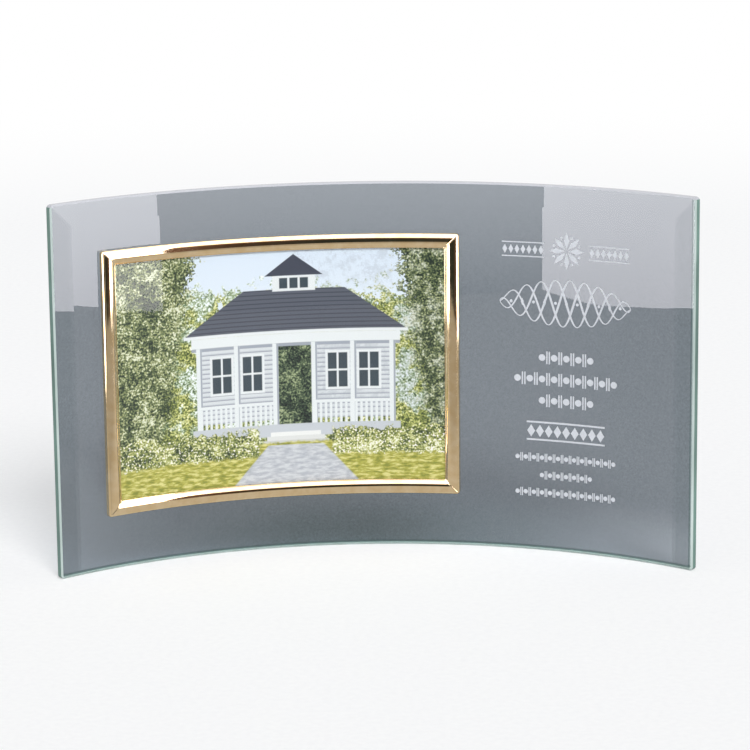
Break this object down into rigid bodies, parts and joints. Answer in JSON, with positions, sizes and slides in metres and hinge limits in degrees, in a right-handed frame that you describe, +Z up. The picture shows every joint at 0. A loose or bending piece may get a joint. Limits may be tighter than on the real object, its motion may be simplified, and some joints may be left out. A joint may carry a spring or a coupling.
{
  "type": "curved glass photo frame",
  "caption": "Bent, bevelled glass panel that stands on its lower edge, with a gold bezel holding a 7 by 5 inch print left of centre.",
  "frame": {"origin": "middle of the footprint, on the surface that the glass stands on", "axes": "+X to the viewer's right along the panel, +Y to the back, away from the hollow side, +Z up"},
  "size_m": [0.3208, 0.0609, 0.1905],
  "materials": {
    "glass": "polished",
    "gold": "polished, gold-plated",
    "tape": "soft foam",
    "card": "matte",
    "print": "glossy print",
    "film": "clear"
  },
  "bodies": {
    "panel": {"glass_panel": "glass", "bezel": "gold", "tape_left": "tape", "tape_right": "tape", "tape_bottom": "tape"},
    "cover": {"cover_sheet": "film"},
    "photo": {"photo_print": "print"},
    "backing": {"backing_card": "card"}
  },
  "joints": [
    {"name": "cover_slide", "type": "slide", "parent": "panel", "child": "cover", "axis": [0, 0, 1], "range_m": [0, 0.135]},
    {"name": "photo_slide", "type": "slide", "parent": "panel", "child": "photo", "axis": [0, 0, 1], "range_m": [0, 0.135]},
    {"name": "backing_slide", "type": "slide", "parent": "panel", "child": "backing", "axis": [0, 0, 1], "range_m": [0, 0.135]}
  ]
}
